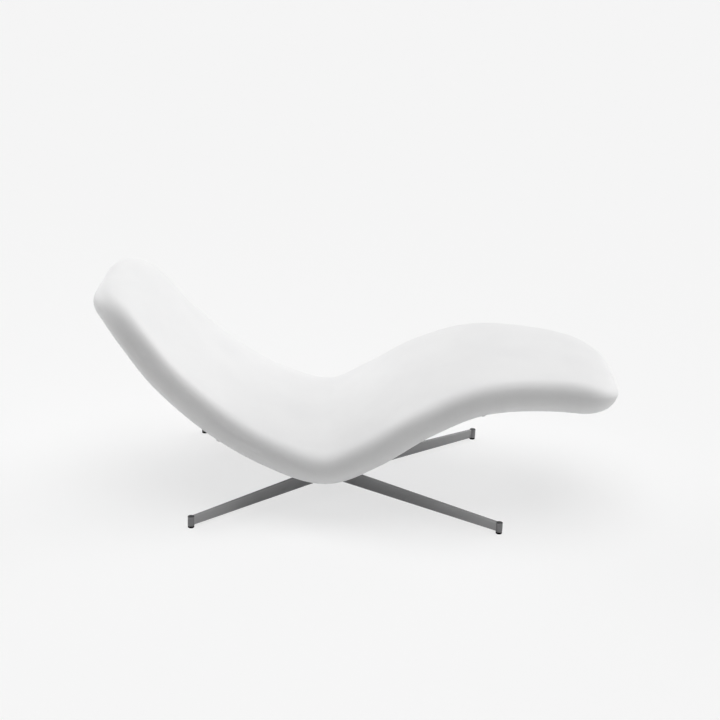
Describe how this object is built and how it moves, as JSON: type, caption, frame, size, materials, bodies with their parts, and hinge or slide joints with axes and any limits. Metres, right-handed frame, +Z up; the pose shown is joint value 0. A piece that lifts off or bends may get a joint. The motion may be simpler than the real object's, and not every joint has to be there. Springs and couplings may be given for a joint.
{
  "type": "relaxation lounger",
  "caption": "Spa relaxation lounger: one seamless S-curved moulded body that turns on a low base of flat steel arms with levelling feet.",
  "frame": {"origin": "on the floor, under the middle of the whole outline; the swivel axis stands 80 mm towards the head end", "axes": "+Z up, +X towards the foot end, +Y to the left of someone who lies on it"},
  "size_m": [1.6768, 0.8358, 0.6924],
  "materials": {
    "soft_body": "satin",
    "frame_steel": "satin",
    "panel": "matte",
    "fasteners": "satin",
    "bushes": "matte",
    "base_steel": "satin",
    "glides": "matte"
  },
  "bodies": {
    "base": {"base_hub": "base_steel", "hub_plug": "glides", "upper_bush": "bushes", "lower_bush": "bushes", "thrust_washer": "bushes", "arm_head_left": "base_steel", "arm_head_right": "base_steel", "arm_foot_left": "base_steel", "arm_foot_right": "base_steel", "boss_head_left": "base_steel", "boss_head_right": "base_steel", "boss_foot_left": "base_steel", "boss_foot_right": "base_steel"},
    "lounger": {"moulded_body": "soft_body", "side_plate_left": "frame_steel", "side_plate_right": "frame_steel", "head_cross_tube": "frame_steel", "back_cross_tube": "frame_steel", "waist_cross_tube": "frame_steel", "thigh_cross_tube": "frame_steel", "knee_cross_tube": "frame_steel", "foot_cross_tube": "frame_steel", "support_slats": "frame_steel", "cross_plate": "frame_steel", "underside_panel": "panel", "underside_caps": "panel", "swivel_plate": "frame_steel", "swivel_bolts": "fasteners", "spindle": "fasteners", "keeper_washer": "fasteners", "keeper_nut": "fasteners"},
    "leveller_head_left": {"stem_head_left": "fasteners", "glide_head_left": "glides"},
    "leveller_head_right": {"stem_head_right": "fasteners", "glide_head_right": "glides"},
    "leveller_foot_left": {"stem_foot_left": "fasteners", "glide_foot_left": "glides"},
    "leveller_foot_right": {"stem_foot_right": "fasteners", "glide_foot_right": "glides"}
  },
  "joints": [
    {"name": "swivel", "type": "hinge", "parent": "base", "child": "lounger", "pos_m": [-0.08, 0, 0.144], "axis": [0, 0, 1], "continuous": true},
    {"name": "level_head_left", "type": "slide", "parent": "base", "child": "leveller_head_left", "axis": [0, 0, -1], "range_m": [0, 0.008]},
    {"name": "level_head_right", "type": "slide", "parent": "base", "child": "leveller_head_right", "axis": [0, 0, -1], "range_m": [0, 0.008]},
    {"name": "level_foot_left", "type": "slide", "parent": "base", "child": "leveller_foot_left", "axis": [0, 0, -1], "range_m": [0, 0.008]},
    {"name": "level_foot_right", "type": "slide", "parent": "base", "child": "leveller_foot_right", "axis": [0, 0, -1], "range_m": [0, 0.008]}
  ]
}
